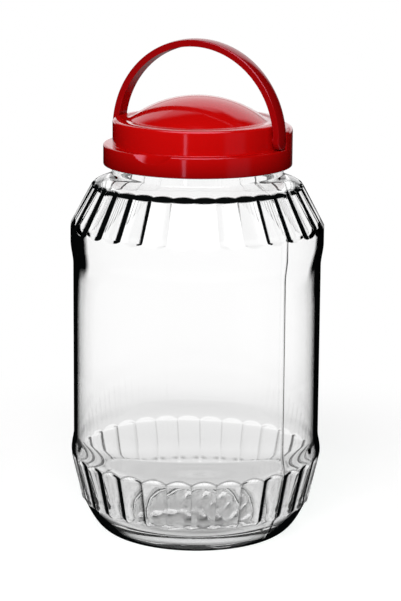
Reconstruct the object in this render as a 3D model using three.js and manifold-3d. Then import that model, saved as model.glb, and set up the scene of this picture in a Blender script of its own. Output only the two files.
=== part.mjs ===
// Glass storage jar with a screw lid, a sealing liner and a folding carry handle
// Millimetres, +Z up. The origin is the centre of the ring that the jar stands on.
// The handle's hinge runs along X, and the handle folds forward, towards -Y.

import * as THREE from "three";
import { mergeVertices } from "three/addons/utils/BufferGeometryUtils.js";
import Module from "manifold-3d";

const wasm = await Module();
wasm.setup();

// Clearances
const seatGap = 0.3;
const threadGap = 0.2;
const pinGap = 0.3;
const nestGap = 1.7;
const stopGap = 0.6;
const overrun = 1;

// Glass, outside, from the standing ring up to the neck
const bodyRadius = 78;
const standingRadius = 51.5;
const standingWidth = 5.5;
const pushUpHeight = 3.6;
const pushUpTurn = 7;
const heelTurnHeight = 21.5;
const heelTurnReach = 10;
const heelTurnRise = 12;
const heelTurnLean = 5.4;
const heelTaper = 6.3;
const heelFluteHeight = 28;
const heelRise = 1.5;
const heelFadeHeight = 15;
const panelHeight = 108;
const shoulderRise = 1.7;
const shoulderFadeHeight = 15;
const shoulderBandHeight = 10.8;
const shoulderFluteHeight = 24;
const shoulderStep = 13.2;
const neckTurnHeight = 8.7;
const neckTurnRise = 4.2;
const neckTurnLean = 1.9;
const neckHeight = 5.2;
const neckBead = 0.8;
const neckBevel = 0.8;

// Flutes, the same number on the shoulder and on the heel
const fluteCount = 32;
const fluteDepth = 1.2;
const fluteArch = 2.7;
const fluteTip = 2;
const shoulderArchShare = 0.5;
const seamAngle = THREE.MathUtils.degToRad(-18);

// Glass, inside
const wall = 3.2;
const heelWall = 4.2;
const floorThickness = 5.6;
const floorCrown = 1.4;
const floorRadius = 46;
const heelCornerReach = 15;
const heelCornerRise = 10;

// Screw finish
const finishRadius = 52.9;
const finishHeight = 8;
const rimWall = 2.9;
const rimRound = 0.6;
const threadStarts = 6;
const threadLead = 24;
const threadSweep = THREE.MathUtils.degToRad(70);
const threadDepth = 2;
const threadThickness = 2;
const threadCrest = 1;
const threadDrop = 1.6;

// Lid
const linerThickness = 1.3;
const linerLap = 1.4;
const skirtClearance = 1.3;
const skirtWall = 2.9;
const skirtDrop = 8.4;
const skirtEdge = 0.8;
const webThickness = 2.5;
const webChamfer = 1.5;
const ledgeEdge = 0.9;
const drumHeight = 15.3;
const drumWall = 2.2;
const rimEdge = 2.5;
const collarHeight = 11.8;
const collarEdge = 3;
const domeRadius = 43;
const domeHeight = 14.8;
const lugSweep = THREE.MathUtils.degToRad(14);
const lugPlaceShare = 0.45;
const lugReach = 1.5;
const lugThickness = 1.6;
const scoopWidth = 35;
const scoopDepth = 5.2;

// Handle
const handleThickness = 4.7;
const handleWidth = 10.5;
const handleEdge = 0.9;
const handleProud = 0.6;
const pinRadius = 3;
const pinHead = 0.6;
const pinHeadLength = 1.6;

// How finely the round forms are cut
const fluteColumns = 4;
const smoothColumns = 2;
const insideSegments = 56;
const lidSegments = 60;
const linerSegments = 60;
const handleSegments = 80;
const footSegments = 32;
const pinSegments = 16;
const turnSteps = 5;
const insideSteps = 4;
const edgeSteps = 3;
const handleEdgeSteps = 2;
const domeSteps = 5;
const threadSteps = 6;
const lugSteps = 2;

// Levels of the glass
const heelFluteBottom = heelTurnHeight;
const heelFluteTop = heelFluteBottom + heelFluteHeight;
const panelBottom = heelFluteTop + heelFadeHeight;
const panelTop = panelBottom + panelHeight;
const shoulderBandBottom = panelTop + shoulderFadeHeight;
const shoulderFluteBottom = shoulderBandBottom + shoulderBandHeight;
const shoulderFluteTop = shoulderFluteBottom + shoulderFluteHeight;
const neckBottom = shoulderFluteTop + neckTurnHeight;
const finishBottom = neckBottom + neckHeight;
const rimTop = finishBottom + finishHeight;

// Radii of the glass
const heelRadius = bodyRadius + heelRise;
const heelFluteRadius = heelRadius - heelTaper;
const shoulderRadius = bodyRadius + shoulderRise;
const neckRadius = finishRadius + neckBead;
const shoulderTopRadius = neckRadius + shoulderStep;
const boreRadius = finishRadius - rimWall;

// Levels and radii of the lid and the handle
const linerBottom = rimTop + seatGap;
const linerTop = linerBottom + linerThickness;
const linerRadius = finishRadius + linerLap;
const webBottom = linerTop + seatGap;
const ledge = webBottom + webThickness;
const drumTop = ledge + drumHeight;
const collarTop = ledge + collarHeight;
const skirtBottom = rimTop - skirtDrop;
const skirtBore = finishRadius + threadDepth + skirtClearance;
const skirtRadius = skirtBore + skirtWall;
const handleOuter = skirtRadius + handleProud;
const handleInner = handleOuter - handleThickness;
const drumRadius = handleInner - nestGap;
const drumBore = drumRadius - drumWall;
const hingeHeight = ledge + stopGap + handleWidth / 2;
const stopFace = handleWidth / 2 + stopGap;

// A closed solid of manifold-3d from a closed geometry, and back again

function toSolid(geometry) {
  const bare = geometry.clone();
  bare.deleteAttribute("normal");
  bare.deleteAttribute("uv");
  const merged = mergeVertices(bare);
  return new wasm.Manifold(
    new wasm.Mesh({
      numProp: 3,
      vertProperties: new Float32Array(merged.attributes.position.array),
      triVerts: new Uint32Array(merged.index.array),
    }),
  );
}

function toMesh(name, solid, material) {
  const { vertProperties, triVerts } = solid.getMesh();
  const geometry = new THREE.BufferGeometry();
  geometry.setAttribute("position", new THREE.BufferAttribute(vertProperties, 3));
  geometry.setIndex(new THREE.BufferAttribute(triVerts, 1));
  geometry.computeVertexNormals();
  const mesh = new THREE.Mesh(geometry, material);
  mesh.name = name;
  return mesh;
}

// Forms that the pieces share

function at(radius, height) {
  return new THREE.Vector2(radius, height);
}

function curve(from, fromHandle, toHandle, to, steps) {
  return new THREE.CubicBezierCurve(from, fromHandle, toHandle, to).getPoints(steps);
}

// A quarter round about a centre, from one angle to another
function round(centre, radius, fromAngle, toAngle, steps) {
  return Array.from({ length: steps + 1 }, (_, step) => {
    const angle = THREE.MathUtils.lerp(fromAngle, toAngle, step / steps);
    return at(centre.x + radius * Math.cos(angle), centre.y + radius * Math.sin(angle));
  });
}

// A profile of radii and heights, turned about Z
function turned(profile, segments) {
  return toSolid(new THREE.LatheGeometry(profile, segments).rotateX(Math.PI / 2));
}

// A skin through rings of points, closed by a fan at both ends. A ring has as many
// points as the next one, or a whole number of times more or fewer.
function lofted(rings) {
  const starts = rings.map((_, ring) => rings.slice(0, ring).flat().length);
  const index = (ring, point) => starts[ring] + (point % rings[ring].length);
  const indices = [];
  for (let ring = 0; ring + 1 < rings.length; ring += 1) {
    const sides = Math.min(rings[ring].length, rings[ring + 1].length);
    const below = rings[ring].length / sides;
    const above = rings[ring + 1].length / sides;
    for (let side = 0; side < sides; side += 1) {
      for (let point = side * below; point < (side + 1) * below; point += 1) {
        indices.push(index(ring, point), index(ring, point + 1), index(ring + 1, side * above));
      }
      for (let point = side * above; point < (side + 1) * above; point += 1) {
        const corner = index(ring, (side + 1) * below);
        indices.push(corner, index(ring + 1, point + 1), index(ring + 1, point));
      }
    }
  }
  const last = rings.length - 1;
  for (let point = 1; point + 1 < rings[0].length; point += 1) {
    indices.push(index(0, 0), index(0, point + 1), index(0, point));
  }
  for (let point = 1; point + 1 < rings[last].length; point += 1) {
    indices.push(index(last, 0), index(last, point), index(last, point + 1));
  }
  const geometry = new THREE.BufferGeometry().setFromPoints(rings.flat());
  geometry.setIndex(indices);
  return toSolid(geometry);
}

// A box that fills one side of a level plane or of an upright one
function block(min, max) {
  const size = new THREE.Vector3().subVectors(max, min);
  const middle = new THREE.Vector3().addVectors(min, max).multiplyScalar(1 / 2);
  const geometry = new THREE.BoxGeometry(size.x, size.y, size.z);
  return toSolid(geometry.translate(middle.x, middle.y, middle.z));
}

// A rib that climbs round Z at the lead of the thread. Its section is a list of radii and
// heights about its middle line, clockwise. At both ends it sinks to a smaller radius.
function helicalRib({ section, sunkRadius, startAngle, sweep, startHeight, steps }) {
  const rings = Array.from({ length: steps + 1 }, (_, step) => {
    const share = step / steps;
    const angle = startAngle + sweep * share;
    const height = startHeight + (threadLead * sweep * share) / (2 * Math.PI);
    const isEnd = step === 0 || step === steps;
    return section.map((point) => {
      const radius = isEnd ? Math.min(point.x, sunkRadius) : point.x;
      return new THREE.Vector3(radius * Math.cos(angle), radius * Math.sin(angle), height + point.y);
    });
  });
  return lofted(rings);
}

// Outside of the glass
// Each level is a ring of points. A flute is a hollow between two ridges: it is deepest
// in the middle, and it runs out where its floor rises to the smooth wall, which leaves
// an arched end. The heel's lower end differs: there the ridges stand on the smooth
// heel, and each runs out in a tip.

const smooth = (height, radius) => ({
  height,
  columns: smoothColumns,
  floor: radius,
  least: radius,
  most: radius,
});
const arched = (height, ridge, share) => ({
  height,
  columns: fluteColumns,
  floor: ridge - fluteDepth * (1 - share),
  least: 0,
  most: ridge,
});
const fluted = (height, ridge) => arched(height, ridge, 0);
const tipped = (height, heel, share) => ({
  height,
  columns: fluteColumns,
  floor: heel - fluteDepth * share,
  least: heel,
  most: heel + fluteDepth,
});

const heelCurve = curve(
  at(standingRadius, 0),
  at(standingRadius + heelTurnReach, 0),
  at(heelFluteRadius - fluteDepth - heelTurnLean, heelTurnHeight - heelTurnRise),
  at(heelFluteRadius - fluteDepth, heelTurnHeight),
  turnSteps,
);
const neckCurve = curve(
  at(shoulderTopRadius, shoulderFluteTop),
  at(shoulderTopRadius - neckTurnLean, shoulderFluteTop + neckTurnRise),
  at(neckRadius, neckBottom - neckTurnHeight / 2),
  at(neckRadius, neckBottom),
  turnSteps,
);

const fadeShares = [1 / 3, 2 / 3];
const archShares = [1 / 3, 2 / 3];

function fade(fromHeight, fromRadius, toHeight, toRadius) {
  return fadeShares.map((share) => {
    const eased = THREE.MathUtils.smoothstep(share, 0, 1);
    return smooth(
      THREE.MathUtils.lerp(fromHeight, toHeight, share),
      THREE.MathUtils.lerp(fromRadius, toRadius, eased),
    );
  });
}

// The heel's curve, with the ridges' tips on the last stretch of it
const tipStart = heelTurnHeight - fluteTip;
const tipCurveRadius = THREE.MathUtils.lerp(
  heelCurve.at(-2).x,
  heelCurve.at(-1).x,
  (tipStart - heelCurve.at(-2).y) / (heelCurve.at(-1).y - heelCurve.at(-2).y),
);
const levels = [
  ...heelCurve.slice(0, -1).map((point) => smooth(point.y, point.x)),
  tipped(tipStart, tipCurveRadius, 1),
  fluted(heelFluteBottom, heelFluteRadius),
  fluted(heelFluteTop, heelRadius),
  ...archShares.map((share) => arched(heelFluteTop + fluteArch * share, heelRadius, share)),
  smooth(heelFluteTop + fluteArch, heelRadius),
  ...fade(heelFluteTop + fluteArch, heelRadius, panelBottom, bodyRadius),
  smooth(panelBottom, bodyRadius),
  smooth(panelTop, bodyRadius),
  ...fade(panelTop, bodyRadius, shoulderBandBottom, shoulderRadius),
  smooth(shoulderBandBottom, shoulderRadius),
  smooth(shoulderFluteBottom - fluteArch, shoulderRadius),
  ...archShares
    .toReversed()
    .map((share) => arched(shoulderFluteBottom - fluteArch * share, shoulderRadius, share)),
  fluted(shoulderFluteBottom, shoulderRadius),
  fluted(shoulderFluteTop, shoulderTopRadius),
  arched(neckCurve.at(1).y, neckCurve.at(1).x, shoulderArchShare),
  ...neckCurve.slice(2).map((point) => smooth(point.y, point.x)),
  smooth(finishBottom - neckBevel, neckRadius),
  smooth(finishBottom, finishRadius),
  smooth(rimTop - rimRound, finishRadius),
  smooth(rimTop, finishRadius - rimRound),
];

const glassRings = levels.map(({ height, columns, floor, least, most }) =>
  Array.from({ length: columns * fluteCount }, (_, column) => {
    const angle = seamAngle + (column / columns / fluteCount) * 2 * Math.PI;
    const acrossShare = (column % columns) / columns;
    const crestShare = (2 * acrossShare - 1) ** 2;
    const radius = THREE.MathUtils.clamp(floor + fluteDepth * crestShare, least, most);
    return new THREE.Vector3(radius * Math.cos(angle), radius * Math.sin(angle), height);
  }),
);

// Inside of the glass, and the push-up under its floor

const floorHeight = pushUpHeight + floorThickness;
const heelBore = heelFluteRadius - fluteDepth - heelWall;
const heelBoreTop = heelRadius - fluteDepth - wall;
const shoulderBore = shoulderRadius - fluteDepth - wall;
const shoulderTopBore = shoulderTopRadius - fluteDepth - wall;
const heelCorner = curve(
  at(floorRadius, floorHeight - floorCrown),
  at(floorRadius + heelCornerReach, floorHeight - floorCrown),
  at(heelBore - heelTurnLean / 2, heelTurnHeight - heelCornerRise / 2),
  at(heelBore, heelTurnHeight + heelWall),
  insideSteps,
);
const neckCorner = curve(
  at(shoulderTopBore, shoulderFluteTop - wall / 2),
  at(shoulderTopBore - neckTurnLean, shoulderFluteTop + neckTurnRise - wall / 2),
  at(boreRadius, neckBottom - neckTurnHeight / 2 - wall / 2),
  at(boreRadius, neckBottom),
  insideSteps,
);
const inside = turned(
  [
    at(0, floorHeight),
    ...heelCorner,
    at(heelBoreTop, heelFluteTop),
    at(bodyRadius - wall, panelBottom),
    at(bodyRadius - wall, panelTop),
    at(shoulderBore, shoulderBandBottom),
    at(shoulderBore, shoulderFluteBottom),
    ...neckCorner,
    at(boreRadius, rimTop - rimRound),
    at(boreRadius + rimRound, rimTop),
    at(boreRadius + rimRound, rimTop + overrun),
    at(0, rimTop + overrun),
  ],
  insideSegments,
);
const pushUpRadius = standingRadius - standingWidth;
const pushUpCurve = curve(
  at(pushUpRadius, 0),
  at(pushUpRadius - pushUpTurn / 2, pushUpHeight),
  at(pushUpRadius - pushUpTurn, pushUpHeight),
  at(0, pushUpHeight),
  insideSteps,
);
const pushUp = turned([at(0, -overrun), at(pushUpRadius, -overrun), ...pushUpCurve], insideSegments);

// Threads of the glass and the lid's lugs, which hook under them

const threadRadius = finishRadius + threadDepth;
const threadCore = finishRadius - rimWall / 2;
const flankSlope = (threadThickness - threadCrest) / 2 / threadDepth;
const coreHalf = threadCrest / 2 + flankSlope * (threadRadius - threadCore);
const threadSection = [
  at(threadCore, coreHalf),
  at(threadRadius, threadCrest / 2),
  at(threadRadius, -threadCrest / 2),
  at(threadCore, -coreHalf),
];
const threadClimb = (threadLead * threadSweep) / (2 * Math.PI);
const threadBottom = rimTop - threadDrop - threadClimb;
const startAngles = Array.from(
  { length: threadStarts },
  (_, start) => (start * 2 * Math.PI) / threadStarts,
);
const threads = startAngles.map((startAngle) =>
  helicalRib({
    section: threadSection,
    sunkRadius: (threadCore + finishRadius) / 2,
    startAngle,
    sweep: threadSweep,
    startHeight: threadBottom,
    steps: threadSteps,
  }),
);

const lugTip = threadRadius - lugReach;
const lugCore = skirtBore + skirtWall / 2;
const lugSection = [
  at(lugTip, lugThickness / 2),
  at(lugCore, lugThickness / 2),
  at(lugCore, -lugThickness / 2),
  at(lugTip, -lugThickness / 2),
];
const lugStartShare = lugPlaceShare - lugSweep / threadSweep / 2;
const lugFall = threadThickness / 2 + threadGap + lugThickness / 2;
const lugs = startAngles.map((startAngle) =>
  helicalRib({
    section: lugSection,
    sunkRadius: lugCore,
    startAngle: startAngle + threadSweep * lugStartShare,
    sweep: lugSweep,
    startHeight: threadBottom + threadClimb * lugStartShare - lugFall,
    steps: lugSteps,
  }),
);

const glassSolid = threads
  .reduce((glass, thread) => glass.add(thread), lofted(glassRings))
  .subtract(inside)
  .subtract(pushUp);

// Liner

const liner = turned(
  [at(0, linerBottom), at(linerRadius, linerBottom), at(linerRadius, linerTop), at(0, linerTop)],
  linerSegments,
);

// Lid: one turned shell, the collar behind the handle, the lugs, the pin holes and the scoop

const domeSphere = (domeRadius ** 2 + domeHeight ** 2) / (2 * domeHeight);
const domeCentre = drumTop + domeHeight - domeSphere;
const roofBottom = drumTop - drumWall;

function domeArc(sphere, level) {
  const rimAngle = Math.asin((level - domeCentre) / sphere);
  return Array.from({ length: domeSteps + 1 }, (_, step) => {
    const angle = THREE.MathUtils.lerp(rimAngle, Math.PI / 2, step / domeSteps);
    return at(step === domeSteps ? 0 : sphere * Math.cos(angle), domeCentre + sphere * Math.sin(angle));
  });
}

const shell = turned(
  [
    ...domeArc(domeSphere - drumWall, roofBottom).toReversed(),
    at(drumBore, roofBottom),
    at(drumBore, webBottom),
    at(skirtBore - webChamfer, webBottom),
    at(skirtBore, webBottom - webChamfer),
    at(skirtBore, skirtBottom),
    at(skirtRadius - skirtEdge, skirtBottom),
    at(skirtRadius, skirtBottom + skirtEdge),
    at(skirtRadius, ledge - ledgeEdge),
    at(skirtRadius - ledgeEdge, ledge),
    at(drumRadius, ledge),
    ...round(at(drumRadius - rimEdge, drumTop - rimEdge), rimEdge, 0, Math.PI / 2, edgeSteps),
    ...domeArc(domeSphere, drumTop),
  ],
  lidSegments,
);

const collarFoot = ledge - webThickness / 2;
const collarRing = turned(
  [
    at(drumRadius - drumWall / 2, collarFoot),
    at(skirtRadius, collarFoot),
    ...round(at(skirtRadius - collarEdge, collarTop - collarEdge), collarEdge, 0, Math.PI / 2, edgeSteps),
    at(drumRadius - drumWall / 2, collarTop),
    at(drumRadius - drumWall / 2, collarFoot),
  ],
  lidSegments,
);
const reach = handleOuter + overrun;
const behindHandle = block(
  new THREE.Vector3(-reach, stopFace, collarFoot - overrun),
  new THREE.Vector3(reach, reach, drumTop + overrun),
);
const collar = collarRing.intersect(behindHandle);

const pinHoles = toSolid(
  new THREE.CylinderGeometry(pinRadius + pinGap, pinRadius + pinGap, 2 * reach, pinSegments)
    .rotateZ(Math.PI / 2)
    .translate(0, 0, hingeHeight),
);

// The scoop is a round groove that falls from the foot of the drum to the skirt's outer face
const ledgeWidth = skirtRadius - drumRadius;
const scoopRadius = (scoopWidth ** 2 / 4 + scoopDepth ** 2) / (2 * scoopDepth);
const scoopFall = Math.atan2(scoopDepth, ledgeWidth);
const scoopReach = ledgeWidth + scoopDepth;
const scoop = toSolid(
  new THREE.CylinderGeometry(scoopRadius, scoopRadius, 2 * scoopReach, lidSegments)
    .translate(0, 0, scoopRadius)
    .rotateX(scoopFall)
    .translate(0, -drumRadius, ledge),
);
const drumCore = turned(
  [at(0, webBottom), at(drumRadius, webBottom), at(drumRadius, drumTop), at(0, drumTop)],
  lidSegments,
);

const lidSolid = lugs
  .reduce((lid, lug) => lid.add(lug), shell.add(collar))
  .subtract(scoop.subtract(drumCore))
  .subtract(pinHoles);

// Handle: half a turned hoop, with a round foot and a headed pin at each end of its hinge

const halfWidth = handleWidth / 2;
const edgeRadius = handleOuter - handleEdge;
const edgeAcross = halfWidth - handleEdge;
const hoopSection = [
  at(handleInner, -halfWidth),
  ...round(at(edgeRadius, -edgeAcross), handleEdge, -Math.PI / 2, 0, handleEdgeSteps),
  ...round(at(edgeRadius, edgeAcross), handleEdge, 0, Math.PI / 2, handleEdgeSteps),
  at(handleInner, halfWidth),
  at(handleInner, -halfWidth),
];
const hoop = toSolid(new THREE.LatheGeometry(hoopSection, handleSegments).translate(0, 0, hingeHeight));
const aboveHinge = block(
  new THREE.Vector3(-reach, -handleWidth, hingeHeight),
  new THREE.Vector3(reach, handleWidth, hingeHeight + reach),
);
const belowHinge = block(
  new THREE.Vector3(-reach, -handleWidth, hingeHeight - handleWidth),
  new THREE.Vector3(reach, handleWidth, hingeHeight),
);

// A profile of radii and distances from the jar's axis, turned about the hinge at one side
function onHinge(profile, side, segments) {
  const geometry = new THREE.LatheGeometry(profile, segments).rotateZ(-Math.PI / 2).rotateZ(side);
  return toSolid(geometry.translate(0, 0, hingeHeight));
}

const foot = [
  at(0, handleInner),
  at(halfWidth, handleInner),
  ...round(at(edgeAcross, edgeRadius), handleEdge, 0, Math.PI / 2, handleEdgeSteps),
  at(0, handleOuter),
];
const catchFace = drumBore - seatGap;
const pin = [
  at(0, catchFace - pinHeadLength),
  at(pinRadius - pinHead, catchFace - pinHeadLength),
  at(pinRadius + pinHead, catchFace - pinHead),
  at(pinRadius + pinHead, catchFace),
  at(pinRadius, catchFace),
  at(pinRadius, handleInner + handleThickness / 2),
  at(0, handleInner + handleThickness / 2),
];
const rightAndLeft = [0, Math.PI];
const handleSolid = rightAndLeft.reduce(
  (handle, side) =>
    handle
      .add(onHinge(foot, side, footSegments).intersect(belowHinge))
      .add(onHinge(pin, side, pinSegments)),
  hoop.intersect(aboveHinge),
);

// Materials and the finished group

const clearGlass = new THREE.MeshStandardMaterial({
  color: 0xe6efec,
  roughness: 0.04,
  metalness: 0,
  transparent: true,
  opacity: 0.35,
});
const redLid = new THREE.MeshStandardMaterial({ color: 0xb00c0e, roughness: 0.22, metalness: 0 });
const redHandle = new THREE.MeshStandardMaterial({ color: 0xb00c0e, roughness: 0.26, metalness: 0 });
const whiteFoam = new THREE.MeshStandardMaterial({ color: 0xf1f0ea, roughness: 0.7, metalness: 0 });

const group = new THREE.Group();
group.add(
  toMesh("glass_jar", glassSolid, clearGlass),
  toMesh("lid_liner", liner, whiteFoam),
  toMesh("screw_lid", lidSolid, redLid),
  toMesh("carry_handle", handleSolid, redHandle),
);

export default group;
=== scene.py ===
# %% [markdown]
# # A glass storage jar with a screw lid and a folding carry handle
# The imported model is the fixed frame: it gives every place, size and joint. This lesson dresses it.
# The glass, the lid and the handle are made again here as fine meshes, because clear glass and gloss
# plastic show every facet. The sealing liner keeps its own mesh and only gets a finish.

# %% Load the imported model
import math

import bmesh
import bpy
import numpy as np
from mathutils import Matrix, Vector


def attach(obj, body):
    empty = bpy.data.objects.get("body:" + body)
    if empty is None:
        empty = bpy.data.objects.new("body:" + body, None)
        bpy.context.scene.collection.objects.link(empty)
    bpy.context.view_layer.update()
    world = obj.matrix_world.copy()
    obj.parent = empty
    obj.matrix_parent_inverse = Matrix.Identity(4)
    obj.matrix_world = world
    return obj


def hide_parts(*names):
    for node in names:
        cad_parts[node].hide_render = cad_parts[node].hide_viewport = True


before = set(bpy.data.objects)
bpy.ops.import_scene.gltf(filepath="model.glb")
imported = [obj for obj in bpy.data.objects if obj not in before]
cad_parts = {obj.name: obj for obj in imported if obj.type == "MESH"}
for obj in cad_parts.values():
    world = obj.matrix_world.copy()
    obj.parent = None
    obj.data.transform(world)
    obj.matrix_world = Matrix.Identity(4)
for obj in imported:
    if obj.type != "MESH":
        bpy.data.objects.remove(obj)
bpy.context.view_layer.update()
scene = bpy.context.scene

# %% [markdown]
# ## The camera
# A camera could be placed by eye. This one was fitted to the ellipses of the lid and the heel, so that
# each rim lies where it should. It stands 1.5 m from the jar's axis and looks a little down. The handle's
# hinge, which runs along X, turns away from it by the azimuth.

# %% Camera
MM = 0.001
AZIMUTH = math.radians(28.7)
CAMERA_REACH = 1490.8 * MM
CAMERA_HEIGHT = 476.3 * MM
CAMERA_ASIDE = 2.36 * MM
CAMERA_PITCH = math.radians(12.41)
CAMERA_ROLL = math.radians(0.44)
FOCAL_LENGTH_PX = 2411.1
PHOTO_HEIGHT_PX = 601
SENSOR_MM = 36.0
SIGHT_LIMIT = 50

across = Vector((math.cos(AZIMUTH), math.sin(AZIMUTH), 0))
away = Vector((-math.sin(AZIMUTH), math.cos(AZIMUTH), 0))
up = Vector((0, 0, 1))


def camera_turn(pitch, roll):
    """The camera's axes as a matrix: right, up and backwards."""
    sight = away * math.cos(pitch) - up * math.sin(pitch)
    level_up = away * math.sin(pitch) + up * math.cos(pitch)
    right = across * math.cos(roll) + level_up * math.sin(roll)
    tilted_up = level_up * math.cos(roll) - across * math.sin(roll)
    return Matrix((right, tilted_up, -sight)).transposed()


camera = bpy.data.objects.new("camera", bpy.data.cameras.new("camera"))
scene.collection.objects.link(camera)
scene.camera = camera
camera.data.sensor_width = SENSOR_MM
camera.data.lens = FOCAL_LENGTH_PX / PHOTO_HEIGHT_PX * SENSOR_MM
camera.data.clip_end = SIGHT_LIMIT
place = across * CAMERA_ASIDE - away * CAMERA_REACH + up * CAMERA_HEIGHT
camera.matrix_world = Matrix.Translation(place) @ camera_turn(CAMERA_PITCH, CAMERA_ROLL).to_4x4()
print("camera", [round(value, 3) for value in camera.location], "lens", round(camera.data.lens, 1))

# %% [markdown]
# ## Helpers for round forms
# Nearly everything on this jar is turned or moulded round one axis. The Screw modifier could turn a
# profile, but flutes, threads and a scoop differ round the axis. So one helper makes a skin through rings
# of points, and each ring may differ. A profile is a list of radii and heights in millimetres. A cubic
# curve with two handles makes the heel, the neck and the fillets, as a mould maker would draw them.

# %% Stretches of a profile


def curve(start, start_handle, end_handle, end, steps):
    """Points of a cubic curve as rows of radius and height."""
    share = np.linspace(0, 1, steps + 1)[:, None]
    points = [np.array(point, float) for point in (start, start_handle, end_handle, end)]
    weights = [(1 - share) ** 3, 3 * share * (1 - share) ** 2, 3 * share**2 * (1 - share), share**3]
    return sum(weight * point for weight, point in zip(weights, points))


def straight(start, end, steps):
    """Points of a straight stretch as rows of radius and height."""
    share = np.linspace(0, 1, steps + 1)[:, None]
    return np.array(start, float) * (1 - share) + np.array(end, float) * share


def arc(centre, radius, start_angle, end_angle, steps):
    """Points of a round about a centre, angles in degrees."""
    angle = np.radians(np.linspace(start_angle, end_angle, steps + 1))
    return np.stack([centre[0] + radius * np.cos(angle), centre[1] + radius * np.sin(angle)], axis=1)


def joined(*stretches):
    """One profile from stretches that meet end to end."""
    return np.vstack([stretches[0]] + [stretch[1:] for stretch in stretches[1:]])


# %% Soft corners and eases


def soft_positive(value, blend):
    """The value where it is above zero and zero elsewhere, with a rounded corner."""
    return (value + np.sqrt(value**2 + blend**2)) / 2


def smoothstep(value):
    """An ease from 0 to 1."""
    share = np.clip(value, 0, 1)
    return share * share * (3 - 2 * share)


# %% Rings and nets of points


def turn(profile, angles):
    """Rings of points from a profile of radii and heights, turned about Z."""
    radius = profile[:, 0][:, None]
    height = np.broadcast_to(profile[:, 1][:, None], (len(profile), len(angles)))
    return np.stack([radius * np.cos(angles), radius * np.sin(angles), height], axis=2)


def net(rings, is_round=True, is_loop=False, has_caps=False):
    """Vertices and faces through rings of points. A round ring closes on itself, and in a loop the last
    ring meets the first. Caps are flat ends."""
    rings = np.asarray(rings, float)
    count, columns = rings.shape[:2]
    ring = np.arange(count if is_loop else count - 1)[:, None]
    column = np.arange(columns if is_round else columns - 1)[None, :]
    above = (ring + 1) % count
    beside = (column + 1) % columns
    corners = [
        ring * columns + column,
        ring * columns + beside,
        above * columns + beside,
        above * columns + column,
    ]
    faces = np.stack(corners, axis=2).reshape(-1, 4).tolist()
    if has_caps:
        faces.append(list(range(columns))[::-1])
        faces.append(list(range((count - 1) * columns, count * columns)))
    return rings.reshape(-1, 3), faces


# %% Pieces made from nets
WELD_DISTANCE = 1e-6


def moulded(name, nets, slots=None):
    """One smooth piece from nets in millimetres. Points that fall together are welded."""
    vertices, faces = [], []
    for net_vertices, net_faces in nets:
        start = len(vertices)
        vertices.extend((net_vertices * MM).tolist())
        faces.extend([[start + corner for corner in face] for face in net_faces])
    mesh = bpy.data.meshes.new(name)
    mesh.from_pydata(vertices, [], faces)
    if slots is not None:
        mesh.polygons.foreach_set("material_index", slots)
    welded = bmesh.new()
    welded.from_mesh(mesh)
    bmesh.ops.remove_doubles(welded, verts=welded.verts, dist=WELD_DISTANCE)
    bmesh.ops.recalc_face_normals(welded, faces=welded.faces)
    welded.to_mesh(mesh)
    welded.free()
    mesh.shade_smooth()
    piece = bpy.data.objects.new(name, mesh)
    scene.collection.objects.link(piece)
    print(name, len(mesh.polygons), "faces")
    return piece


# %% [markdown]
# ## The glass, outside
# Pressed-and-blown soda-lime glass takes the mould's shape on its outside: a rounded heel, a band of
# upright flutes, a plain panel, a second band of flutes on the shoulder, and the neck. Each flute is a
# shallow hollow between two ridges. It is cut into the smooth wall by one amount all the way, so where
# that amount runs out it ends in an arch. The ridges' corners are rounded, as hot glass leaves them.
# Booleans could cut the flutes, but a grid whose points move in and out keeps every ridge smooth.

# %% Sizes of the glass
FLUTES = 32
FLUTE_DEPTH = 1.2
FLUTE_ARCH = 2.7
FLUTE_TIP = 2.0
SHOULDER_ARCH = 2.6
RIDGE_ROUNDING = 0.07
SEAM_ANGLE = math.radians(-18)
BODY_RADIUS = 78.0
STANDING_RADIUS = 51.5
HEEL_BOTTOM, HEEL_TOP = 21.5, 49.5
HEEL_LOW_RADIUS, HEEL_RADIUS = 73.2, 79.5
PANEL_BOTTOM, PANEL_TOP = 64.5, 172.5
BAND_BOTTOM, BAND_MARGIN = 187.5, 0.6
SHOULDER_BOTTOM, SHOULDER_TOP = 198.3, 222.3
SHOULDER_RADIUS, SHOULDER_TOP_RADIUS = 79.68, 66.9
SHOULDER_LATE = SHOULDER_TOP - 2.4
SHOULDER_LATE_RADIUS = float(np.interp(
    SHOULDER_LATE, (SHOULDER_BOTTOM, SHOULDER_TOP), (SHOULDER_RADIUS, SHOULDER_TOP_RADIUS)))
NECK_BOTTOM, NECK_RADIUS = 231.0, 53.7
NECK_HANDLES = [(SHOULDER_TOP_RADIUS - 1.9, SHOULDER_TOP + 4.2), (NECK_RADIUS, NECK_BOTTOM - 4.35)]
FINISH_BOTTOM, FINISH_RADIUS, FINISH_STEP = 236.2, 52.9, 0.8
RIM_TOP, RIM_ROUND = 244.2, 0.9
print("flutes", FLUTES, "height to the rim", RIM_TOP, "mm")

# %% Profile of the outside


def eased(start, end, steps):
    """A stretch that goes from one radius to the next along an S."""
    points = straight(start, end, steps)
    share = smoothstep(np.linspace(0, 1, steps + 1))
    points[:, 0] = start[0] + (end[0] - start[0]) * share
    return points


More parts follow.
